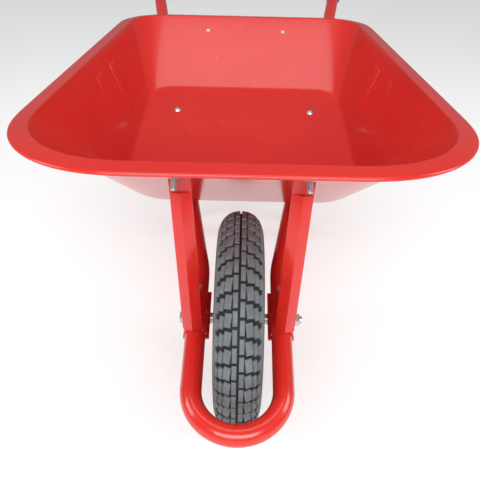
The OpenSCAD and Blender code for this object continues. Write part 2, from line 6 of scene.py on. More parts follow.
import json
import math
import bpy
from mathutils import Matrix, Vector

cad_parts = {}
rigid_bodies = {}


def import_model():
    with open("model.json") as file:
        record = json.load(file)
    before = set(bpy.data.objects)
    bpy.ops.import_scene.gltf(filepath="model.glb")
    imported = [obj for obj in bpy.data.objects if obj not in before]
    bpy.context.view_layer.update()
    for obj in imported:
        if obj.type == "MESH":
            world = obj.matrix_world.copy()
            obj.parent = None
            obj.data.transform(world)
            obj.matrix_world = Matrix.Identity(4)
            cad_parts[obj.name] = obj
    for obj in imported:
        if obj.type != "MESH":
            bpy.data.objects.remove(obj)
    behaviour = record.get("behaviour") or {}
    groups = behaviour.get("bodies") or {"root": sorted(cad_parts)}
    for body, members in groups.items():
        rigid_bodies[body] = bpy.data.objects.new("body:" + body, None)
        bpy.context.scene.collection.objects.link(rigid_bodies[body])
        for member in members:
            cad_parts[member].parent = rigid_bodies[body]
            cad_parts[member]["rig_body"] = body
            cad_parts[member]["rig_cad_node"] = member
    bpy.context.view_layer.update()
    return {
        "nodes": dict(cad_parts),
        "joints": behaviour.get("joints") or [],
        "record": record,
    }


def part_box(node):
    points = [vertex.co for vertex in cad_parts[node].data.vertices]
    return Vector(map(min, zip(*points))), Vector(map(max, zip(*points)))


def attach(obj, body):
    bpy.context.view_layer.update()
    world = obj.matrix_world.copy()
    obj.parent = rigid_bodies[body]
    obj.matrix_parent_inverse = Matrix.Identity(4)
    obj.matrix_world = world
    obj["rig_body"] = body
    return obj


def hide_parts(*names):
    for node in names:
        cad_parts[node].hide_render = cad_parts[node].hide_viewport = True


bl_info = {
    "name": "Builder's Wheelbarrow",
    "version": (1, 0, 0),
    "blender": (4, 5, 0),
    "location": "View3D > Sidebar > Barrow",
    "description": "Models and finishes a steel wheelbarrow round its engineering frame",
    "category": "Object",
}

import bpy
from bpy.props import FloatProperty, FloatVectorProperty, IntProperty, PointerProperty
from bpy.types import Operator, Panel, PropertyGroup
from mathutils import Matrix, Vector

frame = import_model()
NODES = frame["nodes"]
SPIN = next(j for j in frame["joints"] if j["name"] == "wheel_spin")
AXLE = Vector(SPIN["pos_m"])
FLOOR = next(m for m in frame["record"]["mounts"] if m["name"] == "tray_floor")
TRAY_LOW, TRAY_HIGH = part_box("tray")
TYRE_LOW, TYRE_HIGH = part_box("tyre")
MM = 0.001
TYRE_MIDDLE = 140 * MM
TYRE_RISE = 38 * MM


# ---------- settings ----------


class BarrowPaint(PropertyGroup):
    """Colours of the finishes."""

    enamel: FloatVectorProperty(
        name="Enamel", description="Colour of the frame and tray paint",
        subtype="COLOR", size=3, min=0, max=1, default=(0.58, 0.018, 0.014),
    )
    rim: FloatVectorProperty(
        name="Rim", description="Colour of the wheel rim paint",
        subtype="COLOR", size=3, min=0, max=1, default=(0.36, 0.022, 0.018),
    )
    zinc: FloatVectorProperty(
        name="Zinc", description="Colour of the plated bolts",
        subtype="COLOR", size=3, min=0, max=1, default=(0.60, 0.61, 0.63),
    )
    rubber: FloatVectorProperty(
        name="Rubber", description="Colour of the tyre and grips",
        subtype="COLOR", size=3, min=0, max=1, default=(0.020, 0.021, 0.023),
    )


class BarrowFrame(PropertyGroup):
    """Sizes shared by the pieces on the tube frame."""

    slope: FloatProperty(
        name="Rail slope", description="Slope of the rails above level",
        subtype="ANGLE", default=math.radians(15),
    )
    spread: FloatProperty(
        name="Handle spread", description="Angle between each handle and the centre line",
        subtype="ANGLE", default=math.radians(10.3),
    )
    tube: FloatProperty(
        name="Tube radius", description="Outside radius of the frame tube",
        unit="LENGTH", default=16 * MM,
    )
    fork_half: FloatProperty(
        name="Fork half width", description="Centre line to fork tube",
        unit="LENGTH", default=67.5 * MM,
    )
    axle_drop: FloatProperty(
        name="Axle drop", description="Distance of the axle below the tube's middle",
        unit="LENGTH", default=27.2 * MM,
    )
    spread_at: FloatProperty(
        name="Spread start",
        description="Where the rails turn outwards, up the slope from the axle",
        unit="LENGTH", default=80 * MM,
    )


class BarrowTray(PropertyGroup):
    """Sizes of the pressed tray."""

    sheet: FloatProperty(
        name="Sheet", description="Thickness of the steel sheet",
        unit="LENGTH", default=1.2 * MM,
    )
    flange: FloatProperty(
        name="Flange", description="Width of the turned rim",
        unit="LENGTH", default=27 * MM,
    )
    front_run: FloatProperty(
        name="Front wall run", description="Level distance from the crease to the floor in front",
        unit="LENGTH", default=303 * MM,
    )
    rear_run: FloatProperty(
        name="Rear wall run", description="Level distance from the floor to the crease behind",
        unit="LENGTH", default=175 * MM,
    )
    side_run: FloatProperty(
        name="Side wall run", description="Level distance from floor to crease at each side",
        unit="LENGTH", default=64 * MM,
    )
    taper: FloatProperty(
        name="Taper", description="Amount each long side closes in per unit of length",
        default=0.054,
    )
    hem: FloatProperty(
        name="Hem", description="Radius of the roll at the flange's edge",
        unit="LENGTH", default=3 * MM,
    )
    droop: FloatProperty(
        name="Flange droop", description="Slope of the flange below level, outwards",
        subtype="ANGLE", default=math.radians(8),
    )
    front_corner: FloatProperty(
        name="Front corner", description="Corner radius at the crease in front",
        unit="LENGTH", default=156 * MM,
    )
    rear_corner: FloatProperty(
        name="Rear corner", description="Corner radius at the crease behind",
        unit="LENGTH", default=70 * MM,
    )
    floor_front_corner: FloatProperty(
        name="Floor front corner", description="Corner radius of the floor in front",
        unit="LENGTH", default=90 * MM,
    )
    floor_rear_corner: FloatProperty(
        name="Floor rear corner", description="Corner radius of the floor behind",
        unit="LENGTH", default=50 * MM,
    )
    hole: FloatProperty(
        name="Rear hole", description="Radius of each open hole in the rear wall",
        unit="LENGTH", default=4.5 * MM,
    )
    panel_width: FloatProperty(
        name="Panel width", description="Width of each pressed panel along its side wall",
        unit="LENGTH", default=46 * MM,
    )
    panel_foot: FloatProperty(
        name="Panel foot", description="Height above the ground where each panel starts",
        unit="LENGTH", default=380 * MM,
    )
    panel_head: FloatProperty(
        name="Panel head", description="Height above the ground where each panel ends",
        unit="LENGTH", default=474 * MM,
    )
    panel_height: FloatProperty(
        name="Panel height", description="How far each pressed panel stands off its side wall",
        unit="LENGTH", default=1.1 * MM,
    )


class BarrowTyre(PropertyGroup):
    """Sizes of the tyre and its tread."""

    pitches: IntProperty(
        name="Pitches", description="Tread blocks round the tyre", min=12, max=80, default=44,
    )
    groove: FloatProperty(
        name="Groove", description="Depth of the grooves between blocks",
        unit="LENGTH", default=4.5 * MM,
    )


class BarrowGrip(PropertyGroup):
    """Sizes of the rubber grips."""

    length: FloatProperty(
        name="Length", description="Length of each grip", unit="LENGTH", default=108 * MM,
    )
    radius: FloatProperty(
        name="Radius", description="Radius over the ribs", unit="LENGTH", default=19.5 * MM,
    )
    ribs: IntProperty(
        name="Ribs", description="Ribs along each grip", min=4, max=30, default=16,
    )


# ---------- finishes ----------


class Wire:
    """A shader socket that can be used in arithmetic."""

    def __init__(self, tree, socket):
        self.tree = tree
        self.socket = socket

    def _maths(self, operation, *values):
        node = self.tree.nodes.new("ShaderNodeMath")
        node.operation = operation
        for slot, value in zip(node.inputs, values):
            if isinstance(value, Wire):
                self.tree.links.new(value.socket, slot)
            else:
                slot.default_value = value
        return Wire(self.tree, node.outputs[0])

    def __add__(self, other):
        return self._maths("ADD", self, other)

    __radd__ = __add__

    def __mul__(self, other):
        return self._maths("MULTIPLY", self, other)

    __rmul__ = __mul__

    def root(self):
        return self._maths("SQRT", self)

    def __sub__(self, other):
        return self._maths("SUBTRACT", self, other)

    def __rsub__(self, other):
        return self._maths("SUBTRACT", other, self)


class Finish:
    """A node material, built one node at a time."""

    def __init__(self, name, **constants):
        self.material = bpy.data.materials.new(f"{name}_finish")
        self.material.use_nodes = True
        self.tree = self.material.node_tree
        self.shader = self.tree.nodes["Principled BSDF"]
        for socket, value in constants.items():
            self.shader.inputs[socket.replace("_", " ")].default_value = value
        self.place = self.node("ShaderNodeTexCoord", output="Object")

    def node(self, kind, settings=None, output=0, **sockets):
        node = self.tree.nodes.new(kind)
        for key, value in (settings or {}).items():
            if key == "stops":
                first, last = value
                node.color_ramp.elements[0].position = first
                node.color_ramp.elements[1].position = last
            else:
                setattr(node, key, value)
        for key, value in sockets.items():
            name = key.replace("_", " ")
            slot = next(s for s in node.inputs if s.name == name and s.enabled)
            if isinstance(value, Wire):
                self.tree.links.new(value.socket, slot)
            else:
                slot.default_value = value
        return Wire(self.tree, node.outputs[output])

    def noise(self, scale, detail=3.0, rough=0.5):
        return self.node(
            "ShaderNodeTexNoise", output=0, Vector=self.place,
            Scale=scale, Detail=detail, Roughness=rough,
        )

    def mask(self, value, first, last):
        return self.node("ShaderNodeValToRGB", {"stops": (first, last)}, Fac=value)

    def mix(self, factor, a, b):
        node = self.tree.nodes.new("ShaderNodeMix")
        node.data_type = "RGBA"
        for slot, value in ((0, factor), (6, a), (7, b)):
            if isinstance(value, Wire):
                self.tree.links.new(value.socket, node.inputs[slot])
            else:
                node.inputs[slot].default_value = value
        return Wire(self.tree, node.outputs[2])

    def feed(self, socket, value):
        self.tree.links.new(value.socket, self.shader.inputs[socket])

    def bump(self, height, strength, distance):
        self.feed("Normal", self.node(
            "ShaderNodeBump", Strength=strength, Distance=distance, Height=height,
        ))


def tint(colour, factor):
    return tuple(min(1.0, c * factor) for c in colour) + (1.0,)


def enamel(name, colour):
    """Glossy stoved paint over steel, with a faint orange peel and dusty patches."""
    finish = Finish(name, Coat_Weight=0.38, Coat_Roughness=0.08, Specular_IOR_Level=0.40)
    broad = finish.noise(5.0, 3.0)
    cloud = finish.mask(broad, 0.35, 0.7)
    warm = (min(1.0, colour[0] * 1.06), colour[1] * 1.5, colour[2] * 1.1, 1.0)
    body = finish.mix(cloud * 0.6, tint(colour, 0.96), warm)
    dust = finish.mask(finish.noise(34.0, 6.0, 0.62), 0.62, 0.85)
    finish.feed("Base Color", finish.mix(dust * 0.04, body, (0.86, 0.62, 0.56, 1.0)))
    finish.feed("Roughness", 0.18 + 0.10 * broad + 0.10 * dust)
    finish.bump(finish.noise(420.0, 2.0), 0.06, 0.0006)
    return finish.material


def plated(name, colour):
    """Bright plated steel with fine scratches and duller patches."""
    finish = Finish(name, Metallic=1.0)
    patches = finish.noise(120.0, 4.0)
    finish.feed("Base Color", finish.mix(patches, tint(colour, 0.80), tint(colour, 1.1)))
    finish.feed("Roughness", 0.34 + 0.22 * patches)
    finish.bump(finish.noise(1800.0, 2.0), 0.08, 0.0003)
    return finish.material


def rubbery(name, colour, dusty):
    """Black rubber, with scuffed and dusty patches."""
    finish = Finish(name, Specular_IOR_Level=0.45)
    scuffs = finish.mask(finish.noise(46.0, 6.0, 0.65), 0.45, 0.72)
    grey = (0.085, 0.083, 0.080, 1.0)
    finish.feed("Base Color", finish.mix(scuffs * dusty, tint(colour, 1.0), grey))
    finish.feed("Roughness", 0.46 + 0.26 * scuffs)
    finish.bump(finish.noise(900.0, 4.0), 0.18, 0.0004)
    return finish.material


def treaded(name, colour):
    """Tyre rubber: worn grey on the tops of the blocks, black darkened to a third elsewhere:
    painted shade in the grooves, the same black on the walls.
    """
    finish = Finish(name, Specular_IOR_Level=0.45)
    from_axle = finish.node(
        "ShaderNodeVectorMath", {"operation": "SUBTRACT"}, Vector=finish.place)
    from_axle.socket.node.inputs[1].default_value = AXLE
    across = finish.node("ShaderNodeSeparateXYZ", output=0, Vector=from_axle)
    y = Wire(finish.tree, across.socket.node.outputs[1])
    z = Wire(finish.tree, across.socket.node.outputs[2])
    radius = (y * y + z * z).root()
    rise = (radius - TYRE_MIDDLE) * (1 / TYRE_RISE)
    out = across * (1 / (TYRE_HIGH.x - AXLE.x))
    section = (rise * rise + out * out).root()
    tops = finish.mask(section, 0.90, 0.975) * finish.mask(rise, 0.10, 0.30)
    scuffs = finish.mask(finish.noise(46.0, 6.0, 0.65), 0.25, 0.75)
    worn = tops * (0.55 + 0.45 * scuffs)
    # The base is the rubber darkened to a third: painted shade in the grooves, and the same black
    # on the walls. The grey on the block tops is wear.
    finish.feed("Base Color", finish.mix(worn, tint(colour, 0.35), (0.150, 0.168, 0.178, 1.0)))
    finish.feed("Roughness", 0.62 - 0.14 * tops + 0.14 * scuffs)
    finish.bump(finish.noise(900.0, 4.0), 0.18, 0.0004)
    return finish.material


def moulded(name, colour, rough=0.45):
    """Moulded plastic with a fine satin texture."""
    finish = Finish(name)
    grain = finish.noise(700.0, 3.0)
    cloud = finish.noise(30.0)
    finish.feed("Base Color", finish.mix(cloud, tint(colour, 0.88), tint(colour, 1.08)))
    finish.feed("Roughness", rough + 0.12 * grain)
    finish.bump(grain, 0.10, 0.0003)
    return finish.material


def finishes(paint):
    """One material for each of the record's slots."""
    return {
        "red_enamel": enamel("red_enamel", paint.enamel),
        "rim_enamel": enamel("rim_enamel", paint.rim),
        "zinc_plate": plated("zinc_plate", paint.zinc),
        "bearing_steel": plated("bearing_steel", (0.60, 0.60, 0.61)),
        "valve_brass": plated("valve_brass", (0.72, 0.52, 0.22)),
        "tyre_rubber": treaded("tyre_rubber", paint.rubber),
        "grip_rubber": rubbery("grip_rubber", paint.rubber, 0.25),
        "tube_rubber": rubbery("tube_rubber", paint.rubber, 0.10),
        "seal_rubber": rubbery("seal_rubber", paint.rubber, 0.05),
        "black_plastic": moulded("black_plastic", (0.03, 0.03, 0.032)),
        "cage_plastic": moulded("cage_plastic", (0.70, 0.66, 0.55)),
    }


def finish_piece(piece, slot, body, *replaced):
    """Gives a finished piece its material and its body, and hides the CAD nodes it stands for."""
    piece.data.materials.clear()
    piece.data.materials.append(bpy.data.materials[f"{slot}_finish"])
    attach(piece, body)
    if replaced:
        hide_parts(*replaced)


# ---------- modelling helpers ----------


def only(*pieces):
    """Leaves edit mode and selects just these pieces, the first one active."""
    if bpy.context.mode != "OBJECT":
        bpy.ops.object.mode_set(mode="OBJECT")
    bpy.ops.object.select_all(action="DESELECT")
    for piece in pieces:
        piece.select_set(True)
    bpy.context.view_layer.objects.active = pieces[0]


def edit(piece, kind="VERT"):
    only(piece)
    bpy.context.tool_settings.mesh_select_mode = (kind == "VERT", kind == "EDGE", kind == "FACE")
    bpy.ops.object.mode_set(mode="EDIT")


def pick(piece, kind, test):
    """Selects the points, edges or faces that pass a test, and goes into edit mode."""
    only(piece)
    mesh = piece.data
    for group in (mesh.vertices, mesh.edges, mesh.polygons):
        group.foreach_set("select", [False] * len(group))
    chosen = {"VERT": mesh.vertices, "EDGE": mesh.edges, "FACE": mesh.polygons}[kind]
    for item in chosen:
        if test(item):
            item.select = True
    edit(piece, kind)


def done(piece):
    if bpy.context.mode != "OBJECT":
        bpy.ops.object.mode_set(mode="OBJECT")
    return piece


def settle(piece, matrix):
    """Moves a finished piece to its place and leaves its object at the origin."""
    only(piece)
    piece.matrix_world = matrix
    bpy.ops.object.transform_apply(location=True, rotation=True, scale=True)


def modify(piece, kind, **settings):
    """Adds one modifier and applies it."""
    only(piece)
    bpy.ops.object.modifier_add(type=kind)
    modifier = piece.modifiers[-1]
    for key, value in settings.items():
        setattr(modifier, key, value)
    bpy.ops.object.modifier_apply(modifier=modifier.name)


def smooth(piece, degrees):
    only(piece)
    bpy.ops.object.shade_smooth_by_angle(angle=math.radians(degrees))


def joined(name, pieces):
    only(*pieces)
    if len(pieces) > 1:
        bpy.ops.object.join()
    piece = bpy.context.object
    piece.name = name
    piece.data.name = name
    return piece


def repeated(piece, matrices):
    """Copies of a piece, one at each matrix, each with its own mesh."""
    copies = []
    for matrix in matrices:
        only(piece)
        bpy.ops.object.duplicate(linked=False)
        copy = bpy.context.object
        settle(copy, matrix @ copy.matrix_world)
        copies.append(copy)
    bpy.data.objects.remove(piece)
    return copies


def turned(name, profile, steps=48, closed=False):
    """Round piece about Z, spun from a profile of (height, radius) points."""
    bpy.ops.mesh.primitive_plane_add(size=MM)
    piece = bpy.context.object
    piece.name = name
    edit(piece)
    bpy.ops.mesh.select_all(action="SELECT")
    bpy.ops.mesh.merge(type="CENTER")
    points = [Vector((radius, 0, height)) for height, radius in profile]
    bpy.ops.transform.translate(value=points[0])
    path = points[1:] + ([points[0]] if closed else [])
    for start, end in zip(points, path):
        bpy.ops.mesh.extrude_region_move(TRANSFORM_OT_translate={"value": end - start})
    bpy.ops.mesh.select_all(action="SELECT")
    bpy.ops.mesh.spin(steps=steps, angle=2 * math.pi, center=(0, 0, 0), axis=(0, 0, 1))
    bpy.ops.mesh.select_all(action="SELECT")
    bpy.ops.mesh.remove_doubles(threshold=1e-6)
    bpy.ops.mesh.normals_make_consistent(inside=False)
    return done(piece)


def block(size, bevel, matrix):
    """Block with bevelled edges, its base centred on the matrix's origin."""
    bpy.ops.mesh.primitive_cube_add(size=1)
    piece = bpy.context.object
    edit(piece)
    bpy.ops.mesh.select_all(action="SELECT")
    bpy.ops.transform.resize(value=size)
    bpy.ops.transform.translate(value=(0, 0, size[2] / 2))
    pick(done(piece), "EDGE", lambda e: all(
        piece.data.vertices[v].co.z > size[2] / 2 for v in e.vertices))
    bpy.ops.mesh.bevel(offset=bevel, segments=2, affect="EDGES")
    settle(done(piece), matrix)
    return piece


def on_rail(side):
    """Frame of one handle rail: Y runs along the rail from where the rails spread."""
    size = bpy.context.scene.barrow_frame
    origin = AXLE + Vector((
        0, -size.axle_drop * math.sin(size.slope), size.axle_drop * math.cos(size.slope)))
    return (
        Matrix.Translation(origin)
        @ Matrix.Rotation(size.slope, 4, "X")
        @ Matrix.Translation((side * size.fork_half, size.spread_at, 0))
        @ Matrix.Rotation(-side * size.spread, 4, "Z")
    )


def floor_at(y):
    """Height of the tray floor's upper face."""
    _, y0, z0 = FLOOR["pos_m"]
    normal = FLOOR["axis"]
    return z0 - (y - y0) * normal[1] / normal[2]


# ---------- tray ----------


def tray_ring(index, front, rear, half, radii, taper):
    """One closed outline of the tray in its own sloping plane, ends given as (y, z)."""
    bpy.ops.mesh.primitive_plane_add(size=1)
    ring = bpy.context.object
    length = math.hypot(rear[0] - front[0], rear[1] - front[1])
    level = rear[0] - front[0]
    edit(ring)
    bpy.ops.mesh.select_all(action="SELECT")
    bpy.ops.transform.resize(value=(2 * half, length, 1))
    rear_half = half - taper * level
    pick(done(ring), "VERT", lambda v: v.co.y > 0)
    bpy.ops.transform.resize(value=(rear_half / half, 1, 1))
    pick(done(ring), "VERT", lambda v: v.co.y < 0)
    bpy.ops.mesh.bevel(offset=radii[0], segments=8, affect="VERTICES")
    reach = length / 2 - 1e-6
    pick(done(ring), "VERT", lambda v: v.co.y > reach)
    bpy.ops.mesh.bevel(offset=radii[1], segments=8, affect="VERTICES")
    bpy.ops.mesh.select_mode(type="FACE")
    bpy.ops.mesh.select_all(action="SELECT")
    bpy.ops.mesh.delete(type="ONLY_FACE")
    done(ring)
    points = ring.data.vertices

    def run(edge, axis):
        a, b = (points[v].co for v in edge.vertices)
        return abs(a[axis] - b[axis])

    long_edge = max(run(e, 1) for e in ring.data.edges) * 0.99
    pick(ring, "EDGE", lambda e: run(e, 1) > long_edge)
    bpy.ops.mesh.subdivide(number_cuts=15)
    done(ring)
    points = ring.data.vertices
    wide_edge = 0.4 * rear_half
    pick(ring, "EDGE", lambda e: run(e, 0) > wide_edge)
    bpy.ops.mesh.subdivide(number_cuts=9)
    done(ring)
    ring.vertex_groups.new(name=f"ring_{index:02d}").add(
        list(range(len(ring.data.vertices))), 1.0, "REPLACE")
    middle = ((front[0] + rear[0]) / 2, (front[1] + rear[1]) / 2)
    slope = math.atan2(rear[1] - front[1], level)
    settle(ring, Matrix.Translation((0, *middle)) @ Matrix.Rotation(slope, 4, "X"))
    return ring


def rim_half_width(size):
    """Half width over the rim, carried forward along the taper to the rim's front edge."""
    widest_at = size.front_corner + 30 * MM
    return TRAY_HIGH.x + size.taper * widest_at


def tray_outlines(size):
    """Outlines from the middle of the floor out to the rolled hem."""
    rim_front, rim_rear, top = TRAY_LOW.y, TRAY_HIGH.y, TRAY_HIGH.z
    hem = size.hem
    rim_half = rim_half_width(size)
    crease_front = rim_front + size.flange
    crease_rear = rim_rear - size.flange
    floor_front = crease_front + size.front_run
    floor_rear = crease_rear - size.rear_run
    crease_half = rim_half - size.taper * size.flange - size.flange
    floor_half = crease_half - size.side_run - size.taper * size.front_run
    outlines = []

    for inset in (70, 34, 22, 10, 2):
        g = inset * MM
        lift = 3.2 * MM * max(0.0, 1 - inset / 30) ** 2
        front, rear = floor_front + g, floor_rear - g
        radii = (max(size.floor_front_corner - g, 20 * MM),
                 max(size.floor_rear_corner - g, 14 * MM))
        outlines.append((
            (front, floor_at(front) + lift), (rear, floor_at(rear) + lift),
            floor_half - g, radii))
    low_front, low_rear = floor_at(floor_front), floor_at(floor_rear)
    for t in (0.05, 0.10, 0.22, 0.36, 0.5, 0.64, 0.78, 0.90, 0.96, 0.985):
        front = floor_front + (crease_front - floor_front) * t
        rear = floor_rear + (crease_rear - floor_rear) * t
        radii = (size.floor_front_corner + (size.front_corner - size.floor_front_corner) * t,
                 size.floor_rear_corner + (size.rear_corner - size.floor_rear_corner) * t)
        outlines.append((
            (front, low_front + (top - low_front) * t), (rear, low_rear + (top - low_rear) * t),
            floor_half + (crease_half - floor_half) * t, radii))
    slope = math.tan(size.droop)
    hem_out = size.flange - hem
    hem_low = hem_out * slope + hem
    rolls = [(g, g * slope) for g in (0.0, 2 * MM, 6 * MM, 12 * MM, 20 * MM)]
    rolls += [
        (hem_out + hem * math.cos(math.radians(t)), hem_low - hem * math.sin(math.radians(t)))
        for t in (75, 40, 5, -30, -65, -100, -130)
    ]
    for g, down in rolls:
        outlines.append((
            (crease_front - g, top - down), (crease_rear + g, top - down),
            crease_half + g + size.taper * g,
            (size.front_corner + g, size.rear_corner + g)))
    return outlines


def side_panel(side, y, size):
    """Raised panel that is pressed into a side wall."""
    low, high = size.panel_foot, size.panel_head
    floor = floor_at(y)
    top = TRAY_HIGH.z
    lean = math.atan2(size.side_run, top - floor)
    outside = rim_half_width(size) - size.taper * (y - TRAY_LOW.y)
    wall = outside - size.flange - size.side_run
    middle = (low + high) / 2
    x = wall + size.side_run * (middle - floor) / (top - floor)
    tall = (high - low) / math.cos(lean)
    matrix = (
        Matrix.Translation((side * x, y, middle))
        @ Matrix.Rotation(side * size.taper, 4, "Z")
        @ Matrix.Rotation(-side * (math.pi / 2 - lean), 4, "Y")
    )
    bpy.ops.mesh.primitive_cube_add(size=1)
    panel = bpy.context.object
    edit(panel)
    bpy.ops.mesh.select_all(action="SELECT")
    bpy.ops.transform.resize(value=(tall, size.panel_width, 2 * size.panel_height))
    mesh = panel.data
    pick(done(panel), "EDGE", lambda e: abs(
        mesh.vertices[e.vertices[0]].co.z - mesh.vertices[e.vertices[1]].co.z) > MM)
    bpy.ops.mesh.bevel(offset=7 * MM, segments=5, affect="EDGES")
    pick(done(panel), "EDGE", lambda e: all(mesh.vertices[v].co.z > 0 for v in e.vertices))
    bpy.ops.mesh.bevel(offset=1.3 * MM, segments=3, affect="EDGES")
    settle(done(panel), matrix)
    return panel


class BARROW_OT_tray(Operator):
    """Model the pressed steel tray with its rolled rim and side panels"""

    bl_idname = "barrow.tray"
    bl_label = "Tray"

    def execute(self, context):
        size = context.scene.barrow_tray
        outlines = tray_outlines(size)
        rings = [
            tray_ring(i, front, rear, half, radii, size.taper)
            for i, (front, rear, half, radii) in enumerate(outlines)
        ]
        tray = joined("tray_pressing", rings)
        groups = {g.index: g.name for g in tray.vertex_groups}

        def ring_of(vertex):
            return int(groups[vertex.groups[0].group][5:])

        for i in range(len(outlines) - 1):
            pick(tray, "VERT", lambda v: v.groups and ring_of(v) in (i, i + 1))
            bpy.ops.mesh.bridge_edge_loops()
            done(tray)
        pick(tray, "VERT", lambda v: ring_of(v) == 0)
        bpy.ops.mesh.edge_face_add()
        bpy.ops.mesh.select_all(action="SELECT")
        bpy.ops.mesh.normals_make_consistent(inside=False)
        done(tray)
        middle = max(tray.data.polygons, key=lambda p: p.area)
        if middle.normal.z < 0:
            edit(tray)
            bpy.ops.mesh.select_all(action="SELECT")
            bpy.ops.mesh.flip_normals()
            done(tray)
        tray.vertex_groups.clear()
        modify(tray, "SUBSURF", levels=2, render_levels=2)
        modify(tray, "SOLIDIFY", thickness=size.sheet, offset=-1.0)
        self.drill(tray, size)
        panels = [
            side_panel(side, AXLE.y + y * MM, size)
            for side in (-1, 1) for y in (258, 347, 433)
        ]
        tray = joined("tray_pressing", [tray, *panels])
        smooth(tray, 40)
        finish_piece(tray, "red_enamel", "frame", "tray")
        return {"FINISHED"}

    def drill(self, tray, size):
        """Opens the two holes in the rear wall."""
        for mount in frame["record"]["mounts"]:
            if mount["kind"] != "bore":
                continue
            turn = Vector(mount["axis"]).to_track_quat("Z", "Y").to_matrix().to_4x4()
            bpy.ops.mesh.primitive_cylinder_add(radius=size.hole, depth=20 * MM, vertices=40)
            drill = bpy.context.object
            settle(drill, Matrix.Translation(mount["pos_m"]) @ turn)
            modify(tray, "BOOLEAN", operation="DIFFERENCE", solver="EXACT", object=drill)
            bpy.data.objects.remove(drill)


# ---------- wheel ----------

def tyre_point(degrees, inward=0.0):
    """Point on the tyre's section: distance across it, and radius from the axle."""
    t = math.radians(degrees)
    half = TYRE_HIGH.x - AXLE.x - inward
    across = half * math.copysign(abs(math.sin(t)) ** 0.9, math.sin(t))
    return across, TYRE_MIDDLE + (TYRE_RISE - inward) * math.cos(t)


def tyre_skin(degrees, groove):
    """Section of the casing under the tread blocks."""
    fade = min(1.0, max(0.0, (74 - abs(degrees)) / 10))
    ridge = 0.35 * MM if 80 < abs(degrees) < 112 and int(abs(degrees) / 4) % 2 else 0.0
    across, radius = tyre_point(degrees, groove * fade + ridge)
    return across, radius


class BARROW_OT_tyre(Operator):
    """Model the tyre's casing and its tread blocks"""

    bl_idname = "barrow.tyre"
    bl_label = "Tyre"

    def execute(self, context):
        size = context.scene.barrow_tyre
        skin = [tyre_skin(t, size.groove) for t in range(-124, 125, 4)]
        bead = 26.6 * MM
        seat = 101.8 * MM
        inside = [tyre_point(t, 8 * MM) for t in range(112, -113, -16)]
        profile = (
            skin + [(bead, seat + 8 * MM), (bead, seat), (bead - 8 * MM, seat)]
            + inside + [(8 * MM - bead, seat), (-bead, seat), (-bead, seat + 8 * MM)]
        )
        casing = turned("casing", profile, steps=120, closed=True)
        to_axle = Matrix.Translation(AXLE) @ Matrix.Rotation(math.pi / 2, 4, "Y")
        blocks = self.pitch(size)
        step = 2 * math.pi / size.pitches
        tread = repeated(blocks, [Matrix.Rotation(i * step, 4, "Z") for i in range(size.pitches)])
        tyre = joined("tyre_tread", [casing, *tread])
        settle(tyre, to_axle)
        smooth(tyre, 35)
        finish_piece(tyre, "tyre_rubber", "wheel", "tyre")
        return {"FINISHED"}

    def pitch(self, size):
        """One pitch of tread: centre, main and shoulder blocks on both sides."""
        tread_radius = TYRE_MIDDLE + TYRE_RISE
        length = 2 * math.pi * tread_radius / size.pitches
        tuck = 0.45 * MM
        rows = (
            # angle across, width, length share, skew, shift round the tyre
            (6.6, 7.0, 0.84, 0.0, 0.0),
            (23.0, 10.6, 0.80, 8.0, 0.10),
            (41.5, 8.0, 0.74, 12.0, 0.22),
            (60.5, 9.4, 0.66, 16.0, 0.34),
        )
        pieces = []
        for side in (-1, 1):
            for angle, width, share, skew, shift in rows:
                across, radius = tyre_point(side * angle)
                near = Vector(tyre_point(side * (angle + 1)))
                far = Vector(tyre_point(side * (angle - 1)))
                lean = math.atan2(near.y - far.y, abs(near.x - far.x))
                along = shift + (0.5 if side > 0 else 0.0)
                depth = size.groove + 2 * MM
                matrix = (
                    Matrix.Rotation(along * 2 * math.pi / size.pitches, 4, "Z")
                    @ Matrix.Translation((radius, 0, across))
                    @ Matrix.Rotation(math.pi / 2 + side * lean, 4, "Y")
                    @ Matrix.Rotation(math.radians(side * skew), 4, "Z")
                    @ Matrix.Translation((0, 0, -depth - tuck))
                )
                shrink = radius / tread_radius
                pieces.append(block(
                    (width * MM, length * share * shrink, depth), 0.8 * MM, matrix))
        return joined("tread_pitch", pieces)


# ---------- grips, struts and fasteners ----------


class BARROW_OT_grips(Operator):
    """Model the two ribbed rubber grips"""

    bl_idname = "barrow.grips"
    bl_label = "Grips"

    def execute(self, context):
        size = context.scene.barrow_grip
        tube = context.scene.barrow_frame.tube
        outer, root = size.radius, size.radius - 1.8 * MM
        profile = [(0.0, 0.0), (0.0, root - 3 * MM), (1.0 * MM, root - 1 * MM), (3 * MM, root)]
        start, end = 8 * MM, size.length - 14 * MM
        pitch = (end - start) / size.ribs
        for i in range(size.ribs):
            at = start + i * pitch
            profile += [(at, root), (at + 0.20 * pitch, outer - 0.4 * MM),
                        (at + 0.35 * pitch, outer), (at + 0.5 * pitch, outer - 0.4 * MM),
                        (at + 0.70 * pitch, root)]
        flange = size.length
        bore = tube + 0.1 * MM
        profile += [(end + 2 * MM, root), (flange - 7 * MM, outer), (flange - 1 * MM, outer),
                    (flange, outer - 1 * MM), (flange, bore), (4 * MM, bore), (4 * MM, 0.0)]
        for side, name in ((-1, "left"), (1, "right")):
            grip = turned(f"grip_{name}_ribbed", profile, steps=48)
            low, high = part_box(f"grip_{name}")
            rail = on_rail(side)
            along = rail.to_3x3() @ Vector((0, 1, 0))
            start_point = rail.translation
            reach = ((low + high) / 2 - start_point).dot(along) + size.length / 2
            turn = Matrix.Rotation(math.pi / 2, 4, "X")
            settle(grip, rail @ Matrix.Translation((0, reach, 0)) @ turn)
            smooth(grip, 40)
            finish_piece(grip, "grip_rubber", "frame", f"grip_{name}")
        return {"FINISHED"}


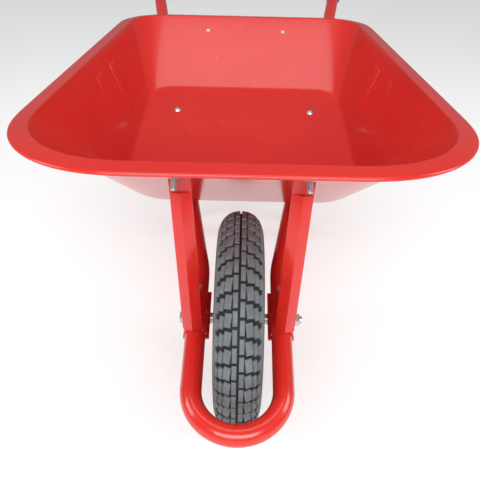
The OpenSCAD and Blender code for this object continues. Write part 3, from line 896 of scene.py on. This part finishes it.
class BARROW_OT_pressings(Operator):
    """Round the folded edges of the struts, brackets and brace"""

    bl_idname = "barrow.pressings"
    bl_label = "Pressed parts"

    def execute(self, context):
        for node, width in (
            ("strut_left", 0.9), ("strut_right", 0.9), ("axle_bracket_left", 0.7),
            ("axle_bracket_right", 0.7), ("leg_brace", 0.7),
        ):
            only(NODES[node])
            bpy.ops.object.duplicate(linked=False)
            piece = context.object
            piece.parent = None
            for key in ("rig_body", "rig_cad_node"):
                del piece[key]
            piece.name = f"{node}_pressing"
            edit(piece)
            bpy.ops.mesh.select_all(action="SELECT")
            bpy.ops.mesh.remove_doubles(threshold=1e-5)
            bpy.ops.mesh.dissolve_limited(angle_limit=math.radians(1))
            done(piece)
            modify(piece, "BEVEL", width=width * MM, segments=3, limit_method="ANGLE",
                   angle_limit=math.radians(32), use_clamp_overlap=True)
            smooth(piece, 32)
            finish_piece(piece, "red_enamel", "frame", node)
        return {"FINISHED"}


def threaded(length, radius, pitch, cap):
    """Threaded end of a bolt: a profile of crests and roots with a chamfered tip."""
    root = radius - 0.6 * pitch
    profile = [(cap, radius)]
    turns = int((length - 1.2 * MM) / pitch)
    for i in range(turns):
        at = cap + i * pitch
        profile += [(at + 0.1 * pitch, radius), (at + 0.5 * pitch, root),
                    (at + 0.9 * pitch, radius)]
    return profile + [(cap + length - 0.8 * MM, radius), (cap + length, root - 0.4 * MM),
                      (cap + length, 0.0)]


class BARROW_OT_strut_bolts(Operator):
    """Model the round-headed bolts through the front wall with threaded ends"""

    bl_idname = "barrow.strut_bolts"
    bl_label = "Strut bolts"

    def execute(self, context):
        size = context.scene.barrow_tray
        top = TRAY_HIGH.z
        crease = TRAY_LOW.y + size.flange
        fall = math.atan2(top - floor_at(crease + size.front_run), size.front_run)
        apart, down_wall = 88.5 * MM, 55 * MM
        bolts = []
        for side in (-1, 1):
            wall = (
                Matrix.Translation((side * apart, crease, top))
                @ Matrix.Rotation(-fall, 4, "X")
                @ Matrix.Translation((0, down_wall, 0))
                @ Matrix.Rotation(math.pi, 4, "X")
            )
            head = [(-5.0 * MM, 0.0), (-4.9 * MM, 2.0 * MM), (-4.3 * MM, 4.6 * MM),
                    (-3.0 * MM, 6.8 * MM), (-1.6 * MM, 8.0 * MM), (-0.4 * MM, 8.3 * MM),
                    (-0.1 * MM, 8.2 * MM), (-0.1 * MM, 4.0 * MM)]
            profile = head + threaded(21 * MM, 4.0 * MM, 1.25 * MM, 6.6 * MM)
            bolt = turned("strut_bolt", profile, steps=32)
            settle(bolt, wall)
            bolts.append(bolt)
        bolts = joined("strut_bolts_threaded", bolts)
        smooth(bolts, 35)
        finish_piece(bolts, "zinc_plate", "frame", "strut_bolts")
        return {"FINISHED"}


class BARROW_OT_finish_frame(Operator):
    """Give every engineering piece its finish"""

    bl_idname = "barrow.finish_frame"
    bl_label = "Frame finishes"

    def execute(self, context):
        finishes(context.scene.barrow_paint)
        for part in frame["record"]["subparts"]:
            node = NODES[part["node"]]
            material = bpy.data.materials[f"{part['material_slot']}_finish"]
            node.data.materials.clear()
            node.data.materials.append(material)
        return {"FINISHED"}


# ---------- stage ----------


def soft_light(name, place, target, width, height, power, colour=(1, 1, 1)):
    bpy.ops.object.light_add(type="AREA", location=place)
    light = bpy.context.object
    light.name = name
    light.data.shape = "RECTANGLE"
    light.data.size = width
    light.data.size_y = height
    light.data.energy = power
    light.data.color = colour
    aim = Vector(target) - Vector(place)
    light.rotation_euler = aim.to_track_quat("-Z", "Y").to_euler()


class BARROW_OT_stage(Operator):
    """Set out a pale floor, soft lights and the camera"""

    bl_idname = "barrow.stage"
    bl_label = "Stage"

    def execute(self, context):
        scene = context.scene
        bpy.ops.mesh.primitive_plane_add(size=14)
        floor = context.object
        floor.name = "studio_floor"
        finish = Finish("studio_floor", Specular_IOR_Level=0.1, Emission_Strength=0.48)
        cloud = finish.noise(0.8, 2.0)
        finish.feed("Base Color", finish.mix(
            cloud, (0.57, 0.57, 0.575, 1), (0.60, 0.60, 0.60, 1)))
        finish.feed("Roughness", 0.85 + 0.1 * cloud)
        finish.shader.inputs["Emission Color"].default_value = (1, 1, 1, 1)
        floor.data.materials.append(finish.material)

        world = bpy.data.worlds.new("studio_world")
        scene.world = world
        world.use_nodes = True
        backdrop = world.node_tree.nodes["Background"]
        backdrop.inputs["Color"].default_value = (1.0, 1.0, 1.0, 1.0)
        backdrop.inputs["Strength"].default_value = 0.24

        soft_light("overhead", (0, -0.1, 2.6), (0, -0.1, 0.3), 1.9, 1.1, 15)
        soft_light("front_window", (0, -2.8, 1.9), (0, -0.1, 0.3), 2.6, 1.4, 84)
        soft_light("left_window", (-2.0, -0.9, 1.5), (0, -0.2, 0.3), 0.8, 1.4, 18)
        soft_light("right_window", (2.0, -0.6, 1.5), (0, 0.0, 0.3), 0.8, 1.4, 18)

        camera_data = bpy.data.cameras.new("camera")
        camera_data.sensor_width = 36.0
        camera_data.lens = 41.9805
        camera_data.shift_x = -0.0014
        camera = bpy.data.objects.new("camera", camera_data)
        scene.collection.objects.link(camera)
        scene.camera = camera
        tilt = math.radians(90 - 33.136)
        roll = math.radians(1.312)
        camera.matrix_world = (
            Matrix.Translation((0, AXLE.y - 0.70575, 0.794))
            @ Matrix.Rotation(tilt, 4, "X") @ Matrix.Rotation(roll, 4, "Z")
        )
        scene.view_settings.view_transform = "Standard"
        return {"FINISHED"}


class BARROW_PT_panel(Panel):
    """Lists the barrow's pieces in the order they are made"""

    bl_label = "Barrow"
    bl_idname = "BARROW_PT_panel"
    bl_space_type = "VIEW_3D"
    bl_region_type = "UI"
    bl_category = "Barrow"

    def draw(self, context):
        layout = self.layout
        for group in GROUPS:
            for key in GROUPS[group].__annotations__:
                layout.prop(getattr(context.scene, group), key)
        for operator in OPERATORS:
            layout.operator(operator.bl_idname)


GROUPS = {
    "barrow_paint": BarrowPaint,
    "barrow_frame": BarrowFrame,
    "barrow_tray": BarrowTray,
    "barrow_tyre": BarrowTyre,
    "barrow_grip": BarrowGrip,
}

OPERATORS = (
    BARROW_OT_finish_frame,
    BARROW_OT_tray,
    BARROW_OT_tyre,
    BARROW_OT_grips,
    BARROW_OT_pressings,
    BARROW_OT_strut_bolts,
    BARROW_OT_stage,
)


def register():
    for group in GROUPS.values():
        bpy.utils.register_class(group)
    for operator in OPERATORS:
        bpy.utils.register_class(operator)
    bpy.utils.register_class(BARROW_PT_panel)
    for name, group in GROUPS.items():
        setattr(bpy.types.Scene, name, PointerProperty(type=group))


def unregister():
    for name in GROUPS:
        delattr(bpy.types.Scene, name)
    bpy.utils.unregister_class(BARROW_PT_panel)
    for operator in reversed(OPERATORS):
        bpy.utils.unregister_class(operator)
    for group in reversed(GROUPS.values()):
        bpy.utils.unregister_class(group)


def main():
    register()
    bpy.ops.barrow.finish_frame()
    bpy.ops.barrow.tray()
    bpy.ops.barrow.tyre()
    bpy.ops.barrow.grips()
    bpy.ops.barrow.pressings()
    bpy.ops.barrow.strut_bolts()
    bpy.ops.barrow.stage()


if __name__ == "__main__":
    main()
